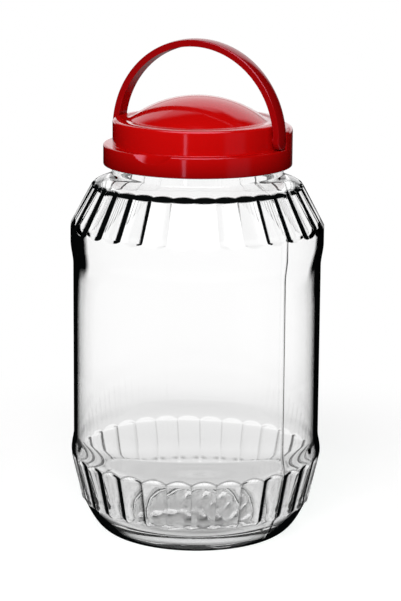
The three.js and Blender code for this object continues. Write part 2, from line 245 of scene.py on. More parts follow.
heel_floor = HEEL_LOW_RADIUS - FLUTE_DEPTH
heel_handles = [(STANDING_RADIUS + 10, 0), (heel_floor - 5.4, 9.5)]
heel_curve = curve((STANDING_RADIUS, 0), *heel_handles, (heel_floor, HEEL_BOTTOM), 40)
heel_band_end = HEEL_TOP + FLUTE_ARCH + BAND_MARGIN
shoulder_band_start = SHOULDER_BOTTOM - FLUTE_ARCH - BAND_MARGIN
outside = joined(
    straight((HEEL_LOW_RADIUS, HEEL_BOTTOM), (HEEL_RADIUS, HEEL_TOP), 14),
    straight((HEEL_RADIUS, HEEL_TOP), (HEEL_RADIUS, heel_band_end), 12),
    eased((HEEL_RADIUS, heel_band_end), (BODY_RADIUS, PANEL_BOTTOM), 12),
    straight((BODY_RADIUS, PANEL_BOTTOM), (BODY_RADIUS, PANEL_TOP), 30),
    eased((BODY_RADIUS, PANEL_TOP), (SHOULDER_RADIUS, BAND_BOTTOM), 14),
    straight((SHOULDER_RADIUS, BAND_BOTTOM), (SHOULDER_RADIUS, shoulder_band_start), 6),
    straight((SHOULDER_RADIUS, shoulder_band_start), (SHOULDER_RADIUS, SHOULDER_BOTTOM), 14),
    straight((SHOULDER_RADIUS, SHOULDER_BOTTOM), (SHOULDER_LATE_RADIUS, SHOULDER_LATE), 12),
    straight((SHOULDER_LATE_RADIUS, SHOULDER_LATE), (SHOULDER_TOP_RADIUS, SHOULDER_TOP), 10),
    curve((SHOULDER_TOP_RADIUS, SHOULDER_TOP), *NECK_HANDLES, (NECK_RADIUS, NECK_BOTTOM), 40),
    straight((NECK_RADIUS, NECK_BOTTOM), (NECK_RADIUS, FINISH_BOTTOM - FINISH_STEP), 5),
    straight((NECK_RADIUS, FINISH_BOTTOM - FINISH_STEP), (FINISH_RADIUS, FINISH_BOTTOM), 2),
    straight((FINISH_RADIUS, FINISH_BOTTOM), (FINISH_RADIUS, RIM_TOP - RIM_ROUND), 24),
    arc((FINISH_RADIUS - RIM_ROUND, RIM_TOP - RIM_ROUND), RIM_ROUND, 0, 90, 5),
)
print("outside of the glass:", len(heel_curve) + len(outside), "rings")

# %% [markdown]
# The columns of the grid stand close together at the ridges, where the glass bends light most, and far
# apart in the hollows. The mould's two halves part on opposite ridges and leave a fine raised seam there.

# %% Flutes, seam and threads
HALF_FLUTE_SHARES = np.array([0, 0.012, 0.03, 0.06, 0.11, 0.18, 0.27, 0.38])
THREAD_STARTS, THREAD_LEAD, THREAD_SWEEP = 6, 24.0, math.radians(70)
THREAD_DEPTH, THREAD_HALF, THREAD_FLANK, THREAD_DROP = 2.0, 0.5, 0.5, 1.6
THREAD_RUN_OUT = math.radians(6)
SEAM_HEIGHT, SEAM_HALF_WIDTH = 0.3, 0.42
SEAM_FAR_SHARE = 0.15
FULL_TURN = 2 * math.pi

flute_shares = np.concatenate([HALF_FLUTE_SHARES, [0.5], 1 - HALF_FLUTE_SHARES[:0:-1]])
flute_pitch = FULL_TURN / FLUTES
angles = np.concatenate([SEAM_ANGLE + (flute + flute_shares) * flute_pitch for flute in range(FLUTES)])
crest = np.tile((2 * flute_shares - 1) ** 2, FLUTES)


def flute_cut(height):
    """How much of the flutes' depth is cut at a height. It runs out past both ends of a band."""
    heel_end = 1 - (height - HEEL_TOP) / FLUTE_ARCH
    shoulder_start = 1 - (SHOULDER_BOTTOM - height) / FLUTE_ARCH
    shoulder_end = 1 - (height - SHOULDER_TOP) / SHOULDER_ARCH
    shoulder = np.minimum(shoulder_start, shoulder_end)
    return np.clip(np.maximum(heel_end, shoulder), -1, 1)


def threads(height, angle):
    """How far the threads stand out."""
    climb = THREAD_LEAD * THREAD_SWEEP / FULL_TURN
    rise = np.zeros(np.broadcast(height, angle).shape)
    for start in range(THREAD_STARTS):
        turned = (angle - start * FULL_TURN / THREAD_STARTS) % FULL_TURN
        middle = RIM_TOP - THREAD_DROP - climb + THREAD_LEAD * turned / FULL_TURN
        flank = smoothstep(1 - (np.abs(height - middle) - THREAD_HALF) / THREAD_FLANK)
        from_end = np.minimum(turned, THREAD_SWEEP - turned)
        rise = np.maximum(rise, flank * smoothstep(from_end / THREAD_RUN_OUT))
    return rise * THREAD_DEPTH


def seam(radius, angle):
    """How far the mould's seam stands out."""
    aside = (angle - SEAM_ANGLE + math.pi / 2) % math.pi - math.pi / 2
    sharp = np.where(np.cos(angle - SEAM_ANGLE) > 0, 1, SEAM_FAR_SHARE)
    return SEAM_HEIGHT * sharp * np.exp(-((radius * aside / SEAM_HALF_WIDTH) ** 2))


print("columns", len(angles), "thread starts", THREAD_STARTS)

# %% [markdown]
# Under the heel's flutes the ridges thin to tips that run out on the round heel. Everywhere else a point
# goes in by the depth that is cut there, less its height up the side of the nearest ridge.

# %% Radii of every point outside
TIP_EASE = 4

heel_radius, heel_height = heel_curve[:, 0][:, None], heel_curve[:, 1][:, None]
tip_share = (heel_height - HEEL_BOTTOM + FLUTE_TIP) / FLUTE_TIP
tips = soft_positive(crest + tip_share - 1, RIDGE_ROUNDING) * smoothstep(tip_share * TIP_EASE + 1)
heel_radii = heel_radius + FLUTE_DEPTH * tips
heel_radii = heel_radii + seam(heel_radius, angles) * smoothstep(heel_height / HEEL_BOTTOM)

outside_radius, outside_height = outside[:, 0][:, None], outside[:, 1][:, None]
cut = soft_positive(flute_cut(outside_height) - crest, RIDGE_ROUNDING)
outside_radii = outside_radius - FLUTE_DEPTH * cut
outside_radii = outside_radii + threads(outside_height, angles)
outside_radii = outside_radii + seam(outside_radius, angles) * (outside_height < NECK_BOTTOM)
print("widest", round(float(outside_radii.max()), 2), "mm from the axis")

# %% [markdown]
# ## The glass, inside
# No mould touches the inside. Air pressed the glass against the mould, so the inside follows the outside
# only roughly, with slow waves. An even offset would be simpler, but those waves are what make a real jar
# bend its background unevenly.

# %% Profile of the inside
WALL = 3.2
HEEL_WALL = 4.2
FLOOR_RADIUS, FLOOR_HEIGHT, FLOOR_CROWN = 46.0, 9.2, 1.4
BORE_RADIUS = FINISH_RADIUS - 2.9
WAVE_DEPTH, WAVE_EASE = 0.22, 20
# Waves round the jar, height for one radian, phase, and strength.
INSIDE_WAVES = [(3, 19, 0, 1), (5, -31, 1, 1), (2, 11, 2, 0.6)]

floor_edge = FLOOR_HEIGHT - FLOOR_CROWN
heel_bore = heel_floor - HEEL_WALL
heel_bore_top = HEEL_RADIUS - FLUTE_DEPTH - WALL
panel_bore = BODY_RADIUS - WALL
shoulder_bore = SHOULDER_RADIUS - FLUTE_DEPTH - WALL
shoulder_top_bore = SHOULDER_TOP_RADIUS - FLUTE_DEPTH - WALL
shoulder_bore_top = SHOULDER_TOP - WALL / 2
heel_bore_handles = [(FLOOR_RADIUS + 15, floor_edge), (heel_bore - 2.7, HEEL_BOTTOM - 5)]
neck_bore_handles = [(shoulder_top_bore - 1.9, SHOULDER_TOP + 2.6), (BORE_RADIUS, NECK_BOTTOM - 5.95)]
inside = joined(
    curve((0, FLOOR_HEIGHT), (FLOOR_RADIUS / 3, FLOOR_HEIGHT),
          (FLOOR_RADIUS * 2 / 3, floor_edge), (FLOOR_RADIUS, floor_edge), 36),
    curve((FLOOR_RADIUS, floor_edge), *heel_bore_handles, (heel_bore, HEEL_BOTTOM + HEEL_WALL), 20),
    straight((heel_bore, HEEL_BOTTOM + HEEL_WALL), (heel_bore_top, HEEL_TOP), 10),
    eased((heel_bore_top, HEEL_TOP), (panel_bore, PANEL_BOTTOM), 10),
    straight((panel_bore, PANEL_BOTTOM), (panel_bore, PANEL_TOP), 30),
    eased((panel_bore, PANEL_TOP), (shoulder_bore, BAND_BOTTOM), 10),
    straight((shoulder_bore, BAND_BOTTOM), (shoulder_bore, SHOULDER_BOTTOM), 6),
    straight((shoulder_bore, SHOULDER_BOTTOM), (shoulder_top_bore, shoulder_bore_top), 10),
    curve((shoulder_top_bore, shoulder_bore_top), *neck_bore_handles, (BORE_RADIUS, NECK_BOTTOM), 20),
    straight((BORE_RADIUS, NECK_BOTTOM), (BORE_RADIUS, RIM_TOP - RIM_ROUND), 10),
    arc((BORE_RADIUS + RIM_ROUND, RIM_TOP - RIM_ROUND), RIM_ROUND, 180, 90, 5),
)
inside_height = inside[:, 1][:, None]
waves = sum(
    strength * np.sin(count * angles + inside_height / radian_height + phase)
    for count, radian_height, phase, strength in INSIDE_WAVES
) / len(INSIDE_WAVES)
above_heel = smoothstep((inside_height - HEEL_BOTTOM) / WAVE_EASE)
below_neck = smoothstep((NECK_BOTTOM - inside_height) / WAVE_EASE)
inside_radii = inside[:, 0][:, None] + WAVE_DEPTH * waves * (above_heel * below_neck)
print("inside of the glass:", len(inside), "rings")

# %% [markdown]
# The jar's floor is the glass that touched the cold mould first. It set while the rest still moved, so it
# is left uneven, and its ripples scatter bright patches. Here they are a few plane waves that cross.

# %% Ripples of the floor
# Heading in radians, wavelength in millimetres, and phase in radians.
FOOT_WAVES = [(0.3, 43, 0.4), (1.1, 27, 1.3), (1.9, 33, 2.2), (2.4, 21, 0.9), (2.9, 24, 3.1)]
FOOT_WAVE_DEPTH, FOOT_WAVE_EASE = 0.19, 8
FOOT_WAVE_REACH = FLOOR_RADIUS + 8


def rings_from(radii, height):
    """Rings of points from radii that differ round the jar."""
    radii = np.broadcast_to(radii, (len(height), len(angles)))
    levels = np.broadcast_to(np.asarray(height)[:, None], radii.shape)
    return np.stack([radii * np.cos(angles), radii * np.sin(angles), levels], axis=2)


def rippled(rings):
    """The rings with the ripples of the jar's floor."""
    place_x, place_y = rings[:, :, 0], rings[:, :, 1]
    height = sum(
        np.sin((place_x * math.cos(heading) + place_y * math.sin(heading)) * 2 * math.pi / length + phase)
        for heading, length, phase in FOOT_WAVES
    )
    room = smoothstep((FOOT_WAVE_REACH - np.hypot(place_x, place_y)) / FOOT_WAVE_EASE)
    rings = rings.copy()
    rings[:, :, 2] += FOOT_WAVE_DEPTH * height * room
    return rings


inside_rings = rippled(rings_from(inside_radii, inside[:, 1]))
print("ripples", len(FOOT_WAVES), "waves,", FOOT_WAVE_DEPTH, "mm each")

# %% Push-up under the jar, and the whole glass
PUSH_UP_RADIUS, PUSH_UP_HEIGHT = 46.0, 3.6
PUSH_UP_HANDLES = [(PUSH_UP_RADIUS - 7, PUSH_UP_HEIGHT), (PUSH_UP_RADIUS - 3.5, PUSH_UP_HEIGHT)]

base = curve((0, PUSH_UP_HEIGHT), *PUSH_UP_HANDLES, (PUSH_UP_RADIUS, 0), 14)
glass_rings = np.concatenate([
    rings_from(base[:, 0][:, None], base[:, 1]),
    rings_from(heel_radii[:-1], heel_curve[:-1, 1]),
    rings_from(outside_radii, outside[:, 1]),
    inside_rings[::-1],
])
outer_count = len(base) + len(heel_radii) - 1 + len(outside_radii)
slot_of_ring = (np.arange(len(glass_rings) - 1) >= outer_count).astype(int)
glass = moulded("jar_glass", [net(glass_rings)], np.repeat(slot_of_ring, len(angles)))

# %% [markdown]
# ## The lid
# Injection-moulded polypropylene. A skirt carries the lugs, a drum stands on its ledge, and a low dome
# rises from the drum's top, whose flat ring is crowned a little, as plastic sets. All of it is turned.
# Only the finger scoop in the ledge and the collar behind the handle break the round. A Boolean could cut
# the scoop, but it is pressed into the turned grid instead: the points inside its hollow move on to the
# hollow's surface, which leaves the soft edge that a mould gives.

# %% Sizes of the lid
SKIRT_RADIUS, SKIRT_BORE, SKIRT_CHAMFER = 59.1, 56.2, 0.3
SKIRT_BOTTOM, LEDGE = 235.8, 248.6
SKIRT_EDGE, LEDGE_EDGE = 0.8, 0.9
WEB_BOTTOM, WEB_CHAMFER = 246.1, 1.5
DRUM_RADIUS, DRUM_WALL, DRUM_FOOT = 53.3, 2.2, 0.5
DRUM_TOP = 263.9
RIM_EDGE, RIM_END_ANGLE = 1.6, 76
CROWN_REACH, CROWN_OUTER_RISE, CROWN_INNER_RISE = 2.3, 0.58, 0.3
DOME_RADIUS, DOME_HEIGHT, DOME_FILLET = 43.0, 14.8, 1.6

dome_sphere = (DOME_RADIUS**2 + DOME_HEIGHT**2) / (2 * DOME_HEIGHT)
dome_centre = DRUM_TOP + DOME_HEIGHT - dome_sphere
dome_angle = math.degrees(math.asin((DRUM_TOP - dome_centre) / dome_sphere))
dome_foot = np.array([DOME_RADIUS + DOME_FILLET, DRUM_TOP])
print("lid: sphere of the dome", round(dome_sphere, 1), "mm")

# %% Profile of the lid
rim_round = arc((DRUM_RADIUS - RIM_EDGE, DRUM_TOP - RIM_EDGE), RIM_EDGE, 0, RIM_END_ANGLE, 8)
rim_end = rim_round[-1]
crown_handles = [rim_end + (-CROWN_REACH, CROWN_OUTER_RISE), dome_foot + (CROWN_REACH, CROWN_INNER_RISE)]
lid_outside = joined(
    arc((SKIRT_RADIUS - SKIRT_EDGE, SKIRT_BOTTOM + SKIRT_EDGE), SKIRT_EDGE, -90, 0, 5),
    straight((SKIRT_RADIUS, SKIRT_BOTTOM + SKIRT_EDGE), (SKIRT_RADIUS, LEDGE - LEDGE_EDGE), 22),
    arc((SKIRT_RADIUS - LEDGE_EDGE, LEDGE - LEDGE_EDGE), LEDGE_EDGE, 0, 90, 5),
    straight((SKIRT_RADIUS - LEDGE_EDGE, LEDGE), (DRUM_RADIUS + DRUM_FOOT, LEDGE), 10),
    curve((DRUM_RADIUS + DRUM_FOOT, LEDGE), (DRUM_RADIUS, LEDGE), (DRUM_RADIUS, LEDGE),
          (DRUM_RADIUS, LEDGE + DRUM_FOOT), 3),
    straight((DRUM_RADIUS, LEDGE + DRUM_FOOT), (DRUM_RADIUS, DRUM_TOP - RIM_EDGE), 10),
    rim_round,
    curve(rim_end, *crown_handles, dome_foot, 12),
)
dome_points = arc((0, dome_centre), dome_sphere, dome_angle, 90, 40)
dome_outside = joined(
    curve(dome_foot, (DOME_RADIUS, DRUM_TOP), dome_points[0], dome_points[1], 5),
    dome_points[1:],
)
inner_dome = arc((0, dome_centre), dome_sphere - DRUM_WALL, dome_angle, 90, 20)
drum_bore, drum_ceiling = DRUM_RADIUS - DRUM_WALL, DRUM_TOP - DRUM_WALL
lid_inside = joined(
    inner_dome[::-1],
    straight(inner_dome[0], (drum_bore, drum_ceiling), 2),
    straight((drum_bore, drum_ceiling), (drum_bore, WEB_BOTTOM), 2),
    straight((drum_bore, WEB_BOTTOM), (SKIRT_BORE - WEB_CHAMFER, WEB_BOTTOM), 2),
    straight((SKIRT_BORE - WEB_CHAMFER, WEB_BOTTOM), (SKIRT_BORE, WEB_BOTTOM - WEB_CHAMFER), 1),
    straight((SKIRT_BORE, WEB_BOTTOM - WEB_CHAMFER), (SKIRT_BORE, SKIRT_BOTTOM + SKIRT_CHAMFER), 3),
    straight((SKIRT_BORE, SKIRT_BOTTOM + SKIRT_CHAMFER), (SKIRT_BORE + SKIRT_CHAMFER, SKIRT_BOTTOM), 1),
)
print("lid:", len(lid_outside) + len(dome_outside) + len(lid_inside), "points in its profile")

# %% Press the scoop and close the lid
LID_COLUMNS = 480
SCOOP_WIDTH, SCOOP_DEPTH, SCOOP_EDGE = 32.0, 5.2, 0.35
SCOOP_BACK_EASE, SCOOP_SIDE_EASE = 0.4, 8
LEVEL_MARGIN = 0.01

lid_angles = np.linspace(0, FULL_TURN, LID_COLUMNS, endpoint=False)


def press_scoop(points):
    """Moves the points inside the scoop's hollow onto its surface. The hollow slopes down from the drum's
    foot to the skirt's face, with a flat floor and sides that curl up."""
    fall = math.atan2(SCOOP_DEPTH, SKIRT_RADIUS - DRUM_RADIUS)
    outward = np.array([0, -math.sin(fall), math.cos(fall)])
    aside = np.abs(points[:, :, 0])
    level = (points - np.array([0, -DRUM_RADIUS, LEDGE])) @ outward
    hollow = SCOOP_DEPTH * (aside / (SCOOP_WIDTH / 2)) ** 3
    sunk = soft_positive(level - hollow, SCOOP_EDGE)
    is_front = points[:, :, 1] < 0
    from_drum = np.linalg.norm(points[:, :, :2], axis=2) - DRUM_RADIUS
    sunk = sunk * is_front * smoothstep(from_drum / SCOOP_BACK_EASE)
    sunk = sunk * smoothstep((SCOOP_WIDTH - aside) / SCOOP_SIDE_EASE)
    return points - sunk[:, :, None] * outward


outer_rings = turn(lid_outside, lid_angles)
is_ledge = lid_outside[:, 1] < LEDGE + LEVEL_MARGIN
outer_rings[is_ledge] = press_scoop(outer_rings[is_ledge])
lid_rings = np.concatenate([outer_rings, turn(dome_outside[1:], lid_angles), turn(lid_inside, lid_angles)])
lid_net = net(lid_rings, is_loop=True)
print("lid:", len(lid_rings), "rings")

# %% [markdown]
# The collar closes the ledge behind the handle. Its two ends stop the handle upright. It is a bent bar
# with a rounded outer edge, and its inner side is sunk into the drum. Its end faces lie flat against the
# handle, so each of its edges stops at its own angle.

# %% Collar
COLLAR_TOP, COLLAR_EDGE, STOP_FACE = 260.4, 3.0, 5.85
COLLAR_IN_DRUM, COLLAR_IN_LEDGE = 1.1, 1
END_EDGE = 0.5


def collar_section(inset):
    """The bar's section, made smaller all round by an inset."""
    top, outer = COLLAR_TOP - inset, SKIRT_RADIUS - inset
    edge = COLLAR_EDGE - inset
    inner, bottom = DRUM_RADIUS - COLLAR_IN_DRUM, LEDGE - COLLAR_IN_LEDGE
    return joined(
        straight((inner, bottom), (outer, bottom), 1),
        straight((outer, bottom), (outer, top - edge), 3),
        arc((outer - edge, top - edge), edge, 0, 90, 8),
        straight((outer - edge, top), (inner, top), 2),
    )


def collar_ring(share, inset, hold_back):
    """One section of the bar. Share runs from one stop face, 0, to the other, 1."""
    section = collar_section(inset)
    stop_angle = np.arcsin((STOP_FACE + hold_back) / section[:, 0])
    angle = stop_angle + (math.pi - 2 * stop_angle) * share
    return np.stack([section[:, 0] * np.cos(angle), section[:, 0] * np.sin(angle), section[:, 1]], axis=1)


end_rounds = [(END_EDGE * (1 - math.sin(step)), END_EDGE * (1 - math.cos(step)))
              for step in np.radians(np.linspace(0, 90, 4))]
collar_rings = [collar_ring(0, inset, hold_back) for inset, hold_back in end_rounds]
collar_rings += [collar_ring(share, 0, END_EDGE) for share in np.linspace(0, 1, 181)]
collar_rings += [collar_ring(1, inset, hold_back) for inset, hold_back in end_rounds[::-1]]
collar_net = net(collar_rings, has_caps=True)
print("collar:", len(collar_rings), "sections")

# %% [markdown]
# Six short lugs inside the skirt hook under the glass threads. They climb at the threads' lead.

# %% Lugs, and the lid put together
LUG_SWEEP, LUG_STATIONS = math.radians(14), 13
LUG_PLACE_SHARE = 0.45
LUG_TIP, LUG_ROOT, LUG_HALF = 53.4, 57.6, 0.8
LUG_FALL = 2.0
LUG_RUN_OUT = 1 / 8


def lug(start):
    """The net of one lug, a small bar that climbs as the thread does."""
    section = np.array([
        (LUG_TIP, LUG_HALF),
        (LUG_ROOT, LUG_HALF),
        (LUG_ROOT, -LUG_HALF),
        (LUG_TIP, -LUG_HALF),
    ])
    rings = []
    for share in np.linspace(0, 1, LUG_STATIONS):
        turned = THREAD_SWEEP * LUG_PLACE_SHARE + LUG_SWEEP * (share - 0.5)
        angle = start * FULL_TURN / THREAD_STARTS + turned
        climb = THREAD_LEAD * (turned - THREAD_SWEEP) / FULL_TURN
        level = RIM_TOP - THREAD_DROP + climb - LUG_FALL
        sunk = (LUG_ROOT - LUG_TIP) * (1 - smoothstep(min(share, 1 - share) / LUG_RUN_OUT))
        radius = np.minimum(section[:, 0] + sunk, LUG_ROOT)
        corners = [radius * math.cos(angle), radius * math.sin(angle), level + section[:, 1]]
        rings.append(np.stack(corners, axis=1))
    return net(rings, has_caps=True)


lugs = [lug(start) for start in range(THREAD_STARTS)]
lid = moulded("screw_lid_moulding", [lid_net, collar_net, *lugs])

# %% [markdown]
# ## The handle
# One moulded piece: half a hoop of nearly rectangular section, a round foot at each end, and a headed pin
# that snaps through the drum's wall. The outer face is crowned a little, as the palm side of a handle is.
# A curve with a bevel object could sweep the hoop, but its feet and pins turn about the hinge, so all of
# it is turned: the hoop about Y, and each foot and pin about the hinge.

# %% Section of the handle
HINGE = 254.45
HANDLE_OUTER, HANDLE_THICKNESS = 59.7, 4.7
HALF_WIDTH, OUTER_EDGE, INNER_EDGE = 5.25, 0.9, 0.4
OUTER_CROWN, CROWN_START_ANGLE = 0.45, 78
# A narrow strip of flat beside each round keeps the round's shading off the face.
EDGE_STRIP = 0.3
HANDLE_INNER = HANDLE_OUTER - HANDLE_THICKNESS

outer_round = arc((HALF_WIDTH - OUTER_EDGE, HANDLE_OUTER - OUTER_CROWN - OUTER_EDGE), OUTER_EDGE, 0,
                  CROWN_START_ANGLE, 6)
side_end = outer_round[0, 1]
crowned = straight(outer_round[-1], (0, HANDLE_OUTER), 8)
crown_share = crowned[:, 0] / crowned[0, 0]
crowned[:, 1] = HANDLE_OUTER - (HANDLE_OUTER - crowned[0, 1]) * crown_share**2
inner_flat, side_start = HALF_WIDTH - INNER_EDGE, HANDLE_INNER + INNER_EDGE
half_section = joined(
    straight((0, HANDLE_INNER), (inner_flat - EDGE_STRIP, HANDLE_INNER), 3),
    straight((inner_flat - EDGE_STRIP, HANDLE_INNER), (inner_flat, HANDLE_INNER), 1),
    arc((inner_flat, side_start), INNER_EDGE, -90, 0, 4),
    straight((HALF_WIDTH, side_start), (HALF_WIDTH, side_start + EDGE_STRIP), 1),
    straight((HALF_WIDTH, side_start + EDGE_STRIP), (HALF_WIDTH, side_end - EDGE_STRIP), 3),
    straight((HALF_WIDTH, side_end - EDGE_STRIP), (HALF_WIDTH, side_end), 1),
    outer_round,
    crowned,
)
whole_section = np.vstack([half_section, half_section[-2:0:-1] * np.array([-1, 1])])
print("handle:", len(whole_section), "points in its section")

# %% Hoop, feet and pins
PIN_RADIUS, PIN_HEAD, PIN_HEAD_LENGTH, PIN_GAP = 3.0, 0.6, 1.6, 0.3
PIN_CATCH = DRUM_RADIUS - DRUM_WALL - PIN_GAP
PIN_ROOT = HANDLE_INNER + HANDLE_THICKNESS / 2
PIN_COLUMNS, HOOP_STATIONS, FOOT_STATIONS = 48, 145, 25


def hoop_section(angle):
    """The whole section at one angle of the hoop, from the +X foot."""
    width, reach = whole_section[:, 0], whole_section[:, 1]
    return np.stack([reach * math.cos(angle), -width, HINGE + reach * math.sin(angle)], axis=1)


def foot(side):
    """The net of one foot: the half section, swung under the hinge."""
    width, reach = half_section[:, 0], half_section[:, 1]
    return net([
        np.stack([side * reach, width * math.cos(angle), HINGE - width * math.sin(angle)], axis=1)
        for angle in np.linspace(0, math.pi, FOOT_STATIONS)
    ], is_round=False)


def pin(side):
    """The net of one headed pin, turned about the hinge."""
    profile = [
        (0, PIN_CATCH - PIN_HEAD_LENGTH),
        (PIN_RADIUS - PIN_HEAD, PIN_CATCH - PIN_HEAD_LENGTH),
        (PIN_RADIUS + PIN_HEAD, PIN_CATCH - PIN_HEAD),
        (PIN_RADIUS + PIN_HEAD, PIN_CATCH),
        (PIN_RADIUS, PIN_CATCH),
        (PIN_RADIUS, PIN_ROOT),
        (0, PIN_ROOT),
    ]
    turns = np.linspace(0, FULL_TURN, PIN_COLUMNS, endpoint=False)
    rings = []
    for width, reach in profile:
        places = [np.full(PIN_COLUMNS, side * reach), width * np.cos(turns), HINGE + width * np.sin(turns)]
        rings.append(np.stack(places, axis=1))
    return net(rings)


hoop = net([hoop_section(angle) for angle in np.linspace(0, math.pi, HOOP_STATIONS)])
handle = moulded("carry_handle_moulding", [hoop, foot(1), foot(-1), pin(1), pin(-1)])

# %% [markdown]
# ## Keeping flat faces flat
# A smooth mesh averages the slope at every corner, so a flat face next to a small round would look
# bulged. Splitting the faces would keep them flat, but leaves hard creases. A weighted normal gives the
# larger face the say, which is how a moulded edge catches light.

# %% Weighted normals
SHARP_ANGLE = math.radians(40)

for piece in (lid, handle):
    weighted = piece.modifiers.new("weighted_normals", "WEIGHTED_NORMAL")
    weighted.mode = "FACE_AREA"
    weighted.keep_sharp = True
    piece.data.set_sharp_from_angle(angle=SHARP_ANGLE)
print("weighted:", lid.name, handle.name)

# %% [markdown]
# ## Materials
# Each finish starts from what the real thing is made of. One function turns a colour as a painter writes
# it, in sRGB hex, into the linear values that light is computed with. One function adds a node.

# %% Colour and node helpers


def linear(hex_code):
    """An sRGB hex colour as linear red, green, blue and alpha."""
    channels = [int(hex_code[start:start + 2], 16) / 255 for start in (1, 3, 5)]
    return (*[c / 12.92 if c <= 0.04045 else ((c + 0.055) / 1.055) ** 2.4 for c in channels], 1)


def add_node(tree, kind, inputs=None, **settings):
    """A node with its settings. An input is a plain value, or the socket that feeds it."""
    node = tree.nodes.new(kind)
    for name, value in settings.items():
        setattr(node, name, value)
    for name, value in (inputs or {}).items():
        if isinstance(value, bpy.types.NodeSocket):
            tree.links.new(value, node.inputs[name])
        else:
            node.inputs[name].default_value = value
    return node


def new_material(name):
    """An empty material and its output node."""
    material = bpy.data.materials.new(name)
    material.use_nodes = True
    material.node_tree.nodes.clear()
    return material, add_node(material.node_tree, "ShaderNodeOutputMaterial")


def set_stops(ramp, stops):
    """Sets the stops of a colour ramp: pairs of place and grey level."""
    elements = ramp.color_ramp.elements
    while len(elements) < len(stops):
        elements.new(1)
    for element, (position, level) in zip(elements, stops):
        element.position = position
        element.color = (level, level, level, 1)


# %% [markdown]
# ### Clear soda-lime glass
# Jar glass is soda-lime glass of IOR 1.52, smooth as fire left it, with a trace of green. Where the wall
# turns edge-on to the eye, the sight line runs a long way inside the glass, and little light comes along
# that way, so the rims of glass forms look dark. A studio makes the same lines with dark cards beside the
# jar. Cards would serve one view only, so here the darkness is painted shade on the outer surface: it
# depends on how far the wall turns from the eye, and the flutes' relief is read more strongly than it is.

# %% Slopes of the outer wall
glass_points = np.array([vertex.co for vertex in glass.data.vertices]) / MM
glass_height = glass_points[:, 2]
glass_reach = np.linalg.norm(glass_points[:, :2], axis=1)
own_slopes = np.array([vertex.normal for vertex in glass.data.vertices])


def plain_slopes():
    """The outward slope that the outer wall would have without its flutes, at each point. Under the foot,
    which has no flutes, it is the mesh's own slope."""
    profile = np.concatenate([heel_curve[:-1], outside])
    steps = np.gradient(profile, axis=0)
    tangent = np.stack([np.interp(glass_height, profile[:, 1], steps[:, part]) for part in (0, 1)], axis=1)
    tangent /= np.linalg.norm(tangent, axis=1)[:, None]
    radial = glass_points[:, :2] / (glass_reach[:, None] + MM)
    slopes = np.column_stack([radial * tangent[:, 1:], -tangent[:, 0]])
    under_foot = glass_reach < STANDING_RADIUS
    slopes[under_foot] = own_slopes[under_foot]
    return slopes


outward_slopes = plain_slopes()
print("glass points", len(glass_points))

# %% [markdown]
# The painted shade copies a surround that is darkest low down, and on the left beside the shoulder. So
# each slope is tipped a little before its darkness is read: upward, and sideways by an amount that changes
# with the height.

# %% Lean of the slopes
UPWARD_LEAN, UPWARD_EASE = 0.3, 10
# Height in millimetres, and how far the slopes there are tipped sideways, evenly and by their own turn.
SIDE_LEANS = [(50, 0.0), (64, 0.05), (165, 0.05), (178, -0.08), (190, -0.16), (225, -0.19)]
SIDE_GAINS = [
    (0, 0.38), (16, 0.38), (24, 0.1), (50, 0.1), (60, 0.0), (150, 0.0), (170, 0.1), (185, 0.1), (198, 0.0),
]


def leans():
    """How far each outward slope is tipped before its darkness is read."""
    sideways = np.interp(glass_height, *zip(*SIDE_LEANS))
    sideways += np.interp(glass_height, *zip(*SIDE_GAINS)) * (outward_slopes @ np.array(across))
    upward = UPWARD_LEAN * smoothstep((glass_height - HEEL_BOTTOM) / UPWARD_EASE + 1)
    return sideways[:, None] * np.array(across) + upward[:, None] * np.array(up)


for attribute_name, vectors in (("plain_normal", outward_slopes), ("lean", leans())):
    attribute = glass.data.attributes.new(attribute_name, "FLOAT_VECTOR", "POINT")
    attribute.data.foreach_set("vector", vectors.ravel())
print("slopes and leans stored on", glass.name)

# %% [markdown]
# Some dark lines are finer than a slope can tell: the small prisms where the flutes end on the shoulder,
# the seam, the heel's ridges and the arches over them. They are painted shade, written on the points as
# values from 0 to 1, from the same sizes that shaped the glass. A painted texture would need unwrapping to
# sit as well.

# %% Painted shade for the dark lines
# The prisms' lower and upper ends between two ridges, as heights above the shoulder's top, and how much
# nearer each end comes to the other at a ridge.
PRISM_LOW, PRISM_LOW_RISE = -0.7, 0.5
PRISM_HIGH, PRISM_HIGH_FALL = 3.3, 0.7
PRISM_EASE = 0.4
WALL_END, WALL_EASE = 0.2, 0.8
SEAM_LINE_WIDTH = 0.5
# Height in millimetres, and how dark the seam's painted shade is there.
SEAM_SHADES = [(10, 0.5), (60, 0.3), (120, 0.35), (150, 0.5), (185, 0.9), (200, 0.6), (205, 0.0)]
HEEL_RIDGE_SHADE, HEEL_RIDGE_START = 0.24, 0.82
HEEL_RIDGE_HIGH_EASE, HEEL_RIDGE_LOW, HEEL_RIDGE_LOW_EASE = 3, 27, 9
CRISP_START, CRISP_EASE = 166, 10
NEAR_ARCH_SHADE, NEAR_ARCH_WIDTH = 0.6, 0.5
FAR_FOOT_SHADE, FAR_FOOT_WIDTH = 0.5, 0.6
FAR_FOOT_RISE, FAR_FOOT_CURL = 1.2, 1.8


